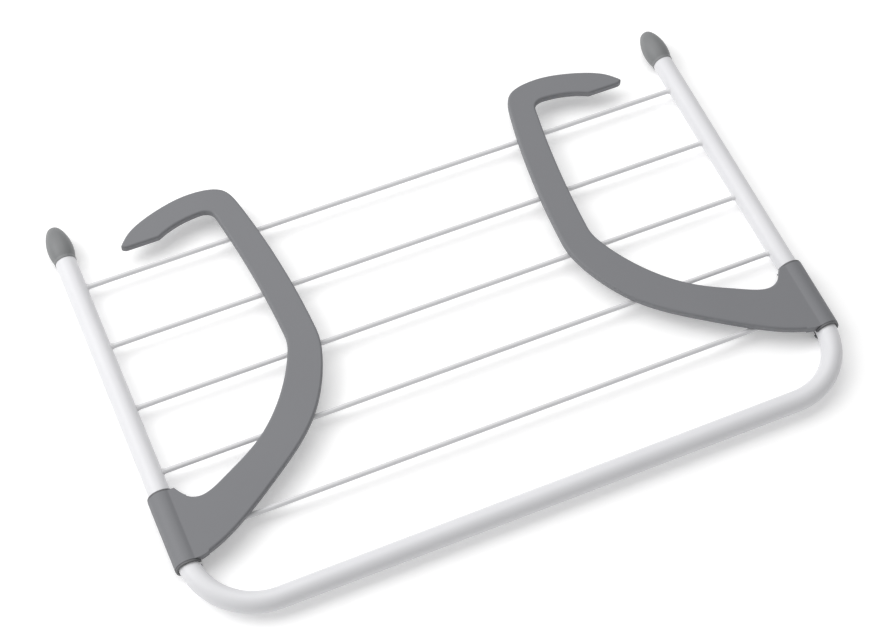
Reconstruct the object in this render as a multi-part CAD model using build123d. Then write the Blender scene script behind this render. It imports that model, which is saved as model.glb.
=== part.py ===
from build123d import *
import math
import os

# Fold-flat drying rack that hooks over a radiator, rail or balcony wall.
# A bent steel tube makes the front rail and two legs, wires are welded between the legs,
# and a flat hook arm turns and slides on each leg by a C-shaped sleeve.
# Millimetres. X runs across the rack, Y from the front rail to the leg ends, Z up.
# The origin is the middle of the front rail's centre line. The rack lies flat, arms folded in.

# bent tube
leg_spacing = 504.0           # between the two legs' centre lines
leg_length = 320.0            # from the front rail's centre line to the cut ends of the legs
tube_diameter = 16.0
tube_wall = 1.0
bend_radius = 50.0            # of the tube's centre line

# wires
wire_count = 5
wire_diameter = 4.0
front_wire_y = 67.0           # from the front rail's centre line to the nearest wire
back_wire_inset = 27.0        # from the last wire to the cut ends of the legs
weld_flare = 0.6              # how far the weld stands out round its wire, at the tube
weld_toe = 0.05               # and where it runs out along the wire
weld_length = 1.6

# sleeves and their liners
bend_overlap = 5.0            # how far the liner's front end runs over the start of the bend
sleeve_length = 60.5          # over the liner's two end collars
liner_wall = 0.7
collar_length = 1.5
collar_step = 0.3             # the collars are this much lower than the sleeve
sleeve_wall = 1.4
arm_swing = 90.0              # degrees, from folded flat to upright

# hook arms, drawn in the plane of the rack: distance in from the leg's centre line, and back
# along the leg from the liner's front end
plate_thickness = 6.4
plate_lift = 0.4              # gap between the folded plate and the wires
plate_edge_round = 1.6
root_blend = 3.0              # hollow between the sleeve and the plate
front_edge = [(23.0, 5.5), (50.0, 19.5), (81.0, 40.5), (121.0, 74.0), (139.0, 101.0), (149.0, 126.0)]
outer_side = [(151.5, 145.0), (149.5, 190.0), (143.5, 241.0)]
hook_shoulder = [(138.0, 271.0), (131.5, 287.0), (114.0, 293.5)]
hook_back = [(80.0, 289.8), (56.0, 280.5)]
hook_tip = (42.5, 268.4)
tip_heading = (-0.62, -0.78)  # which way the outline runs at the tip
finger_end = (46.5, 265.0)
hook_kink = (71.5, 265.0)
hook_hollow = [(82.0, 269.5), (107.0, 274.0)]
inner_corner = [(115.5, 271.0), (118.5, 260.0)]
inner_side = [(126.0, 195.0), (128.0, 149.0)]
inner_edge = [(124.5, 133.0), (111.0, 108.0), (78.0, 72.5), (45.0, 53.5), (25.0, 46.5)]

# end caps
cap_length = 33.0             # that stands past the end of the tube
cap_collar_length = 2.5
cap_collar_step = 0.4         # the collar is this much proud of the tube
cap_bulge = 1.9               # and the widest place this much
cap_bulge_share = 0.4         # how far along the cap that is
cap_tip_inset = 2.2           # near the tip the cap is this much inside the tube's outline
cap_tip_share = 0.9
cap_heading = (0.3, 1.0)      # which way the outline leaves the collar, out and along
plug_length = 14.0            # inside the tube

# fits
running_gap = 0.05            # radial, tube to liner and liner to sleeve
end_play = 0.1                # each end of the sleeve, between the collars
slot_gap = 0.1                # each side, between the liner's slot and the welds in it
mouth_gap = 0.08              # between the liner's front mouth and the bend

# worked out from the sizes above
tube_radius = tube_diameter / 2
bore_radius = tube_radius - tube_wall
wire_radius = wire_diameter / 2
wire_pitch = (leg_length - back_wire_inset - front_wire_y) / (wire_count - 1)
wire_places = [front_wire_y + wire_pitch * i for i in range(wire_count)]
leg_x = leg_spacing / 2
liner_inner = tube_radius + running_gap
liner_outer = liner_inner + liner_wall
sleeve_inner = liner_outer + running_gap
sleeve_outer = sleeve_inner + sleeve_wall
slot_half_angle = math.degrees(math.asin((wire_radius + weld_flare + slot_gap) / tube_radius))
mouth_flare = bend_overlap**2 / (2 * bend_radius) + mouth_gap
mouth_length = bend_overlap + 1
liner_place = bend_radius - bend_overlap
arm_front = collar_length + end_play
arm_back = sleeve_length - collar_length - end_play
plate_bottom = wire_radius + plate_lift
plate_top = plate_bottom + plate_thickness
at_start = (Align.CENTER, Align.CENTER, Align.MIN)
tolerance = 0.01


def along_leg(section, start, end):
    """A section drawn in x and z, made solid from start to end along a leg's line."""
    plane = Plane(origin=(0, start, 0), x_dir=(1, 0, 0), z_dir=(0, 1, 0))
    mirrored = section.mirror(Plane.XZ)
    return extrude(plane * mirrored, end - start)


def to_left_leg(shape, place):
    return Pos(-leg_x, place, 0) * shape


def to_right_leg(shape, place):
    return Pos(leg_x, place, 0) * shape.mirror(Plane.YZ)


def tube_sweep(radius):
    path = FilletPolyline(
        (-leg_x, leg_length), (-leg_x, 0), (leg_x, 0), (leg_x, leg_length), radius=bend_radius
    )
    start = Plane(origin=path @ 0, z_dir=path % 0)
    return sweep(start * Circle(radius), path=path)


def make_tube():
    return tube_sweep(tube_radius) - tube_sweep(bore_radius)


def leg_rods(radius):
    """Both legs' straight stretches as solid rods, for cutting what meets them."""
    rod = Rot(-90, 0, 0) * Cylinder(radius, leg_length, align=at_start)
    return [Pos(-leg_x, 0, 0) * rod, Pos(leg_x, 0, 0) * rod]


def make_wire(y):
    """A straight wire that butts against both legs, with a small flare of weld at each end."""
    weld_root = tube_radius - wire_radius
    flare_length = tube_radius + weld_length - weld_root
    flare = Cone(wire_radius + weld_flare, wire_radius + weld_toe, flare_length, align=at_start)
    wire = Rot(0, 90, 0) * Cylinder(wire_radius, leg_spacing)
    wire += Pos(-leg_x + weld_root, 0, 0) * Rot(0, 90, 0) * flare
    wire += Pos(leg_x - weld_root, 0, 0) * Rot(0, -90, 0) * flare
    return Pos(0, y, 0) * wire - leg_rods(tube_radius)


def sector(radius, start, end):
    """A pie slice in x and z, from one angle to another, upwards from +X."""
    steps = [start + (end - start) * i / 2 for i in range(3)]
    points = [(radius * math.cos(math.radians(a)), radius * math.sin(math.radians(a))) for a in steps]
    edges = [Line((0, 0), points[0]), ThreePointArc(*points), Line(points[2], (0, 0))]
    return make_face(edges)


def make_liner():
    """A split bush, keyed by the wires in its slot, with a collar at each end."""
    slot = sector(2 * sleeve_outer, -slot_half_angle, slot_half_angle)
    bush = Circle(liner_outer) - Circle(liner_inner) - slot
    collar = Circle(sleeve_outer - collar_step) - Circle(liner_inner) - slot
    liner = along_leg(bush, 0, sleeve_length)
    liner += along_leg(collar, 0, collar_length)
    liner += along_leg(collar, sleeve_length - collar_length, sleeve_length)
    mouth = Cone(liner_inner + mouth_flare, liner_inner, mouth_length, align=at_start)
    return liner - Rot(-90, 0, 0) * mouth


def blend(before, after):
    """A curve from the end of one edge to the start of another, tangent to both."""
    return Spline(before @ 1, after @ 0, tangents=(before % 1, after % 0))


def arm_outline():
    """The flat hook seen from above, closed along the leg's centre line."""
    front = Spline((sleeve_outer, arm_front), *front_edge)
    outer = ThreePointArc(*outer_side)
    shoulder = Spline(
        outer @ 1, *hook_shoulder, *hook_back, hook_tip, tangents=(outer % 1, tip_heading)
    )
    tip = Spline(hook_tip, finger_end, tangents=(tip_heading, (1, 0)))
    finger = Line(tip @ 1, hook_kink)
    hollow = Spline(hook_kink, *hook_hollow)
    inner = ThreePointArc(inner_corner[1], *inner_side)
    corner = Spline(hollow @ 1, *inner_corner, tangents=(hollow % 1, inner % 0))
    notch = Spline(*inner_edge, (sleeve_outer, arm_back))
    return make_face([
        front, blend(front, outer), outer, shoulder, tip, finger, hollow, corner, inner,
        blend(inner, notch), notch,
        Line((sleeve_outer, arm_back), (0, arm_back)),
        Line((0, arm_back), (0, arm_front)),
        Line((0, arm_front), (sleeve_outer, arm_front)),
    ])


def make_arm():
    """The flat hook and its sleeve, one moulding."""
    outline = arm_outline()
    plate = extrude(Pos(0, 0, plate_bottom) * outline, plate_thickness)
    level = plate.edges().filter_by(lambda edge: edge.bounding_box().size.Z < tolerance)
    rims = level.filter_by(lambda edge: edge.bounding_box().min.X > sleeve_outer - tolerance)
    plate = fillet(rims, plate_edge_round)
    crown_end = math.sqrt(sleeve_outer**2 - plate_top**2)
    root_reach = sleeve_outer + 2 * root_blend
    slab = Rectangle(root_reach, plate_thickness, align=(Align.MIN, Align.MIN))
    root = Circle(sleeve_outer) + Pos(0, plate_bottom) * slab
    valley = root.vertices().sort_by_distance((crown_end, plate_top, 0))[0]
    root = along_leg(fillet(valley, root_blend), arm_front, arm_back)
    root &= extrude(Pos(0, 0, -2 * sleeve_outer) * outline, 4 * sleeve_outer)
    arm = plate + root + along_leg(Circle(sleeve_outer), arm_front, arm_back)
    open_from = -arm_swing - slot_half_angle
    gap = Circle(sleeve_inner) + sector(sleeve_outer + tolerance, open_from, slot_half_angle)
    return arm - along_leg(gap, 0, sleeve_length)


def make_cap():
    """A bulb of revolution with a collar on the tube's end and a plug in its bore."""
    collar_radius = tube_radius + cap_collar_step
    profile = [
        Line((0, -plug_length), (bore_radius, -plug_length)),
        Line((bore_radius, -plug_length), (bore_radius, 0)),
        Line((bore_radius, 0), (collar_radius, 0)),
        Line((collar_radius, 0), (collar_radius, cap_collar_length)),
        Spline(
            (collar_radius, cap_collar_length),
            (tube_radius + cap_bulge, cap_bulge_share * cap_length),
            (tube_radius - cap_tip_inset, cap_tip_share * cap_length),
            (0, cap_length),
            tangents=(cap_heading, (-1, 0)),
        ),
        Line((0, cap_length), (0, -plug_length)),
    ]
    return revolve(make_face(profile), Axis.Y)


os.makedirs("parts", exist_ok=True)
arm = make_arm()
liner = make_liner()
cap = make_cap()
nodes = {
    "frame_tube": make_tube(),
    "hook_arm_left": to_left_leg(arm, liner_place),
    "hook_arm_right": to_right_leg(arm, liner_place),
    "grip_liner_left": to_left_leg(liner, liner_place),
    "grip_liner_right": to_right_leg(liner, liner_place),
    "end_cap_left": to_left_leg(cap, leg_length),
    "end_cap_right": to_right_leg(cap, leg_length),
}
for number, y in enumerate(wire_places, 1):
    nodes[f"wire_{number}"] = make_wire(y)
for name, shape in nodes.items():
    export_step(shape, f"parts/{name}.step")
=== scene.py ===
import bpy
import math
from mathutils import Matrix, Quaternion, Vector


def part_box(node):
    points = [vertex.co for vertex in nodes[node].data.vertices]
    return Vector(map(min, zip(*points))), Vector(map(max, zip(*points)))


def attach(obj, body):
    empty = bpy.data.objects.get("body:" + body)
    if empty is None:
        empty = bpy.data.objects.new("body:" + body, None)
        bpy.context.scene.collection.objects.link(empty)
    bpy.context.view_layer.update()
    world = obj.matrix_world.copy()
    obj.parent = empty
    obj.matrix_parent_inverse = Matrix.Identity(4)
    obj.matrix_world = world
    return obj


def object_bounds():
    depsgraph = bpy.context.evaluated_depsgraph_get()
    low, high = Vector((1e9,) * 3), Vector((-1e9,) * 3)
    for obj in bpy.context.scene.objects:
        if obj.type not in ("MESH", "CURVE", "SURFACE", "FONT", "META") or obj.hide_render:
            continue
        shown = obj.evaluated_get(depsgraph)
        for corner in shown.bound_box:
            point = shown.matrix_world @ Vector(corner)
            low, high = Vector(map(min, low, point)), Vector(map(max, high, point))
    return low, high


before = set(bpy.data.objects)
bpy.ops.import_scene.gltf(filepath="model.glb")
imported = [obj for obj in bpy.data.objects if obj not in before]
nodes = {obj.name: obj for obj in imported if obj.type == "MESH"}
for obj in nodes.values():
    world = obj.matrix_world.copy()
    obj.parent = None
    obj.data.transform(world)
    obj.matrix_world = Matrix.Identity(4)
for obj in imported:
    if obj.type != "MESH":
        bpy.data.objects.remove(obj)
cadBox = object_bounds()
print("frame loaded:", len(nodes), "pieces")


class Socket:  # wraps a shader socket, so that an expression adds its own Math nodes
    def __init__(self, tree, socket=None):
        self.tree = tree
        self.socket = socket

    def node(self, kind, settings=None, sockets=None, output=0):
        made = self.tree.nodes.new("ShaderNode" + kind)
        for name, value in (settings or {}).items():
            setattr(made, name, value)
        for name, value in (sockets or {}).items():
            if isinstance(value, Socket):
                self.tree.links.new(value.socket, made.inputs[name])
            else:
                made.inputs[name].default_value = value
        return Socket(self.tree, made.outputs[output])

    def maths(self, operation, *values):
        return self.node("Math", {"operation": operation}, dict(enumerate(values)))

    def __add__(self, other):
        return self.maths("ADD", self, other)

    def __sub__(self, other):
        return self.maths("SUBTRACT", self, other)

    def __mul__(self, other):
        return self.maths("MULTIPLY", self, other)

    def __rsub__(self, other):
        return self.maths("SUBTRACT", other, self)

    def __abs__(self):
        return self.maths("ABSOLUTE", self)

    __radd__ = __add__
    __rmul__ = __mul__


def startMaterial(name, finish):
    material = bpy.data.materials.new(name)
    material.use_nodes = True
    shader = material.node_tree.nodes["Principled BSDF"]
    for socket, value in finish.items():
        shader.inputs[socket].default_value = value
    return material, shader, Socket(material.node_tree)


def plug(tree, value, shader, name):
    tree.tree.links.new(value.socket, shader.inputs[name])


def noise(tree, place, scale, detail=2.0, roughness=0.5):
    sockets = {"Vector": place, "Scale": scale, "Detail": detail, "Roughness": roughness}
    return tree.node("TexNoise", None, sockets)


def mixColour(tree, factor, first, second):
    sockets = {0: factor, 6: (*first, 1), 7: (*second, 1)}
    return tree.node("Mix", {"data_type": "RGBA"}, sockets, 2)


def stretched(tree, place, scale):
    return tree.node("Mapping", None, {"Vector": place, "Scale": scale})


def fade(tree, value, start, end):  # 1 at start and below, 0 at end and above
    sockets = {"Value": value, 1: start, 2: end, 3: 1.0, 4: 0.0}
    return tree.node("MapRange", {"interpolation_type": "SMOOTHSTEP"}, sockets)


def bumpFrom(tree, height, distance, strength=0.6):
    return tree.node("Bump", None, {"Height": height, "Distance": distance, "Strength": strength})


tubePaint = {
    "colour": (0.765, 0.765, 0.783),
    "dulled": (0.715, 0.715, 0.737),  # where the coat lies a little thinner
    "peelScale": 420.0,
    "peelHeight": 0.00002,
    "cloudScale": 22.0,
    "rubScale": (900.0, 12.0, 900.0),  # fine lines along the legs, where the sleeves slide
    "rubHeight": 0.3,  # as a share of the peel's height
    "roughness": (0.38, 0.10, 0.08),  # all over, then by cloud and by rub
    "coat": (0.05, 0.1),  # all over, then by cloud
    "finish": {"Roughness": 0.46, "Coat Roughness": 0.20, "Specular IOR Level": 0.5},
}


def makeTubePaint():
    material, shader, tree = startMaterial("whiteTubeCoat", tubePaint["finish"])
    place = tree.node("TexCoord", output=3)
    cloud = noise(tree, place, tubePaint["cloudScale"])
    plug(tree, mixColour(tree, cloud, tubePaint["colour"], tubePaint["dulled"]), shader, "Base Color")
    rub = noise(tree, stretched(tree, place, tubePaint["rubScale"]), 1.0, 3.0)
    rough, roughCloud, roughRub = tubePaint["roughness"]
    plug(tree, rough + cloud * roughCloud + rub * roughRub, shader, "Roughness")
    coat, coatCloud = tubePaint["coat"]
    plug(tree, coat + cloud * coatCloud, shader, "Coat Weight")
    peel = noise(tree, place, tubePaint["peelScale"])
    height = peel + rub * tubePaint["rubHeight"]
    plug(tree, bumpFrom(tree, height, tubePaint["peelHeight"]), shader, "Normal")
    return material


wirePaint = {
    "colour": (0.75, 0.75, 0.76),
    "dulled": (0.69, 0.69, 0.705),
    "peelScale": 700.0,
    "peelHeight": 0.00002,
    "cloudScale": 35.0,
    "roughness": (0.30, 0.12),  # all over, then by cloud
    "lumpScale": 650.0,  # on the weld beads
    "lumpHeight": 0.00018,
    "finish": {"Roughness": 0.36, "Specular IOR Level": 0.5},
}


def makeWirePaint(name, heightScale, height):
    material, shader, tree = startMaterial(name, wirePaint["finish"])
    place = tree.node("TexCoord", output=3)
    cloud = noise(tree, place, wirePaint["cloudScale"])
    plug(tree, mixColour(tree, cloud, wirePaint["colour"], wirePaint["dulled"]), shader, "Base Color")
    rough, roughCloud = wirePaint["roughness"]
    plug(tree, rough + cloud * roughCloud, shader, "Roughness")
    peel = noise(tree, place, heightScale)
    plug(tree, bumpFrom(tree, peel, height), shader, "Normal")
    return material


armPlastic = {
    "colour": (0.186, 0.189, 0.201),
    "pale": (0.211, 0.214, 0.226),
    "roughness": 0.46,
    "flowScale": 14.0,
    "grainScale": 1500.0,
    "grainHeight": 0.00004,
    "grainStrength": 0.7,
    "grainShare": 0.4,  # of the shade's change; the rest is flow
    "roughGrain": 0.14,
    "roughFlow": 0.06,
    "partingZ": 0.0056,  # the mould's halves met half way up the plate
    "partingWidth": 0.00018,
    "pinMarks": ((0.174, 0.101), (0.112, 0.195), (0.118, 0.265), (0.180, 0.321)),  # underneath
    "pinRadius": 0.0030,
    "pinRim": 0.0004,
    "pinDepth": 2.0,  # in grain heights
    "undersideZ": 0.0035,
    "undersideFade": 0.0002,
    "finish": {"Roughness": 0.55, "Specular IOR Level": 0.4},
}
capPlastic = {
    "colour": (0.192, 0.197, 0.201),
    "pale": (0.218, 0.223, 0.227),
    "roughness": 0.36,
}
linerPlastic = {
    "colour": (0.114, 0.115, 0.121),
    "pale": (0.134, 0.135, 0.141),
    "roughness": 0.40,
}


def coordinate(tree, place, axis):  # x, y or z of a place, for axis 0, 1 or 2
    return tree.node("SeparateXYZ", None, {0: place}, axis)


def partingLine(tree, z, level):
    return fade(tree, abs(z - level), 0.0, armPlastic["partingWidth"])


def pinMarks(tree, x, y, z):  # shallow round marks that the mould's pins leave
    spot = tree.node("CombineXYZ", None, {0: abs(x), 1: y, 2: 0.0})
    marks = None
    for markX, markY in armPlastic["pinMarks"]:
        sockets = {0: spot, 1: (markX, markY, 0.0)}
        away = tree.node("VectorMath", {"operation": "DISTANCE"}, sockets, 1)
        mark = fade(tree, away, armPlastic["pinRadius"] - armPlastic["pinRim"], armPlastic["pinRadius"])
        marks = mark if marks is None else marks + mark
    below = armPlastic["undersideZ"]
    return marks * fade(tree, z, below - armPlastic["undersideFade"], below)


def makeMoulding(name, plastic, markings):
    material, shader, tree = startMaterial(name, armPlastic["finish"])
    place = tree.node("TexCoord", output=3)
    flow = noise(tree, place, armPlastic["flowScale"], 3.0)
    grain = noise(tree, place, armPlastic["grainScale"], 3.0, 0.6)
    grainShare = armPlastic["grainShare"]
    shade = flow * (1 - grainShare) + grain * grainShare
    shades = (plastic["colour"], plastic["pale"])
    plug(tree, mixColour(tree, shade, *shades), shader, "Base Color")
    rough = plastic["roughness"] + grain * armPlastic["roughGrain"] + flow * armPlastic["roughFlow"]
    plug(tree, rough, shader, "Roughness")
    height = grain
    if markings == "arm":
        x, y, z = (coordinate(tree, place, axis) for axis in range(3))
        height = height + partingLine(tree, z, armPlastic["partingZ"])
        height = height - pinMarks(tree, x, y, z) * armPlastic["pinDepth"]
    if markings == "cap":
        height = height + partingLine(tree, coordinate(tree, place, 2), 0.0)
    bump = bumpFrom(tree, height, armPlastic["grainHeight"], armPlastic["grainStrength"])
    plug(tree, bump, shader, "Normal")
    return material


tubeCoat = makeTubePaint()
wireCoat = makeWirePaint("whiteWireCoat", wirePaint["peelScale"], wirePaint["peelHeight"])
weldCoat = makeWirePaint("whiteWeldCoat", wirePaint["lumpScale"], wirePaint["lumpHeight"])
armGrey = makeMoulding("greyArmMoulding", armPlastic, "arm")
capGrey = makeMoulding("greyCapMoulding", capPlastic, "cap")
linerGrey = makeMoulding("darkLinerMoulding", linerPlastic, "plain")

finishes = {
    "frame_tube": tubeCoat,
    "wire": wireCoat,
    "hook_arm": armGrey,
    "end_cap": capGrey,
    "grip_liner": linerGrey,
}
for name, node in nodes.items():
    for start, material in finishes.items():
        if name.startswith(start):
            node.data.materials.clear()
            node.data.materials.append(material)
print("finishes on")


weldBead = {
    "sides": 28,
    "legRadius": 0.008,
    "sunk": 0.0008,  # starts this far inside the leg's surface, so it closes all round
    "rootRadius": 0.00258,
    "steps": ((0.0005, 0.00250), (0.0005, 0.00234), (0.0004, 0.00217), (0.0004, 0.00194)),
    "lumpiness": 0.00003,
    "smoothAngle": 50,
    "rightSeed": 20,  # added to a wire's number, so no two beads are alike
}


def selectFarFace(mesh, side):
    bpy.ops.object.mode_set(mode="OBJECT")
    far = max(side * face.center.x for face in mesh.polygons)
    for face in mesh.polygons:
        face.select = side * face.center.x > far - weldBead["lumpiness"]
    bpy.ops.object.mode_set(mode="EDIT")


def makeWeldBead(name, legX, y, side, seed):  # side points from the leg towards the wire
    bpy.ops.object.select_all(action="DESELECT")
    start = legX + side * (weldBead["legRadius"] - weldBead["sunk"])
    bpy.ops.mesh.primitive_cylinder_add(
        vertices=weldBead["sides"], radius=weldBead["rootRadius"], depth=weldBead["sunk"],
        location=(start + side * weldBead["sunk"] / 2, y, 0), rotation=(0, math.pi / 2, 0))
    bead = bpy.context.active_object
    bead.name = name
    bpy.ops.object.transform_apply(location=True, rotation=True, scale=True)
    radius = weldBead["rootRadius"]
    place = start + side * weldBead["sunk"]
    bpy.ops.object.mode_set(mode="EDIT")
    bpy.ops.mesh.select_mode(type="FACE")
    for length, newRadius in weldBead["steps"]:
        selectFarFace(bead.data, side)
        place += side * length
        bpy.ops.mesh.extrude_region_move(TRANSFORM_OT_translate={"value": (side * length, 0, 0)})
        ratio = newRadius / radius
        bpy.ops.transform.resize(value=(1, ratio, ratio), center_override=(place, y, 0))
        radius = newRadius
    bpy.ops.mesh.select_all(action="SELECT")
    bpy.ops.transform.vertex_random(offset=weldBead["lumpiness"], seed=seed)
    bpy.ops.mesh.normals_make_consistent(inside=False)
    bpy.ops.object.mode_set(mode="OBJECT")
    bpy.ops.object.shade_smooth_by_angle(angle=math.radians(weldBead["smoothAngle"]))
    bead.data.materials.append(weldCoat)
    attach(bead, "frame")


tubeLow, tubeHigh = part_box("frame_tube")
legRightX = tubeHigh.x - weldBead["legRadius"]
wireNames = sorted(name for name in nodes if name.startswith("wire_"))
for number, wireName in enumerate(wireNames, 1):
    low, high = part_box(wireName)
    wireY = (low.y + high.y) / 2
    makeWeldBead(f"weldBead{number}Left", -legRightX, wireY, 1, number)
    makeWeldBead(f"weldBead{number}Right", legRightX, wireY, -1, number + weldBead["rightSeed"])
print("weld beads:", 2 * len(wireNames))


stage = {
    "size": 8.0,
    "colour": (0.93, 0.93, 0.93),
    "glow": 0.22,  # a product table, lit a little from below
    "gap": 0.0002,  # the lowest point clears the floor by this
}


def makeFloor():
    bpy.ops.object.select_all(action="DESELECT")
    bpy.ops.mesh.primitive_plane_add(size=stage["size"], location=(0, 0, cadBox[0].z - stage["gap"]))
    floor = bpy.context.active_object
    floor.name = "floor"
    material, shader, tree = startMaterial("paleFloor", {"Roughness": 0.9, "Specular IOR Level": 0.1})
    shader.inputs["Base Color"].default_value = (*stage["colour"], 1)
    shader.inputs["Emission Color"].default_value = (1, 1, 1, 1)
    shader.inputs["Emission Strength"].default_value = stage["glow"]
    floor.data.materials.append(material)


studio = {
    "sky": 0.41,
    "aim": (0, 0.15, 0),
    "softboxLeft": {"place": (-2.2, 1.3, 1.9), "size": (2.0, 2.0), "watts": 40},
    "softboxAbove": {"place": (-0.3, 1.3, 2.1), "size": (3.0, 2.2), "watts": 34},
}


def makeSoftbox(name):
    settings = studio[name]
    light = bpy.data.lights.new(name, "AREA")
    light.shape = "RECTANGLE"
    light.size, light.size_y = settings["size"]
    light.energy = settings["watts"]
    lamp = bpy.data.objects.new(name, light)
    lamp.location = settings["place"]
    lamp.rotation_mode = "QUATERNION"
    lamp.rotation_quaternion = (Vector(studio["aim"]) - lamp.location).to_track_quat("-Z", "Y")
    bpy.context.scene.collection.objects.link(lamp)


def makeSky():
    world = bpy.data.worlds.new("studio")
    world.use_nodes = True
    world.node_tree.nodes["Background"].inputs["Color"].default_value = (1, 1, 1, 1)
    world.node_tree.nodes["Background"].inputs["Strength"].default_value = studio["sky"]
    bpy.context.scene.world = world


makeFloor()
makeSky()
makeSoftbox("softboxLeft")
makeSoftbox("softboxAbove")
bpy.context.scene.view_settings.view_transform = "Standard"
print("stage ready")


cameraView = {
    "target": (-0.0101, 0.1623, 0.0),
    "azimuth": -25.28,
    "elevation": 58.06,
    "roll": 2.27,
    "distance": 1.5987,
    "lens": 87.2,
}


def makeCamera():
    around = math.radians(cameraView["azimuth"])
    up = math.radians(cameraView["elevation"])
    back = Vector((math.sin(around) * math.cos(up), -math.cos(around) * math.cos(up), math.sin(up)))
    camera = bpy.data.objects.new("camera", bpy.data.cameras.new("camera"))
    camera.data.lens = cameraView["lens"]
    camera.location = Vector(cameraView["target"]) + back * cameraView["distance"]
    camera.rotation_mode = "QUATERNION"
    roll = Quaternion((0, 0, 1), math.radians(cameraView["roll"]))
    camera.rotation_quaternion = (-back).to_track_quat("-Z", "Y") @ roll
    bpy.context.scene.collection.objects.link(camera)
    bpy.context.scene.camera = camera


makeCamera()
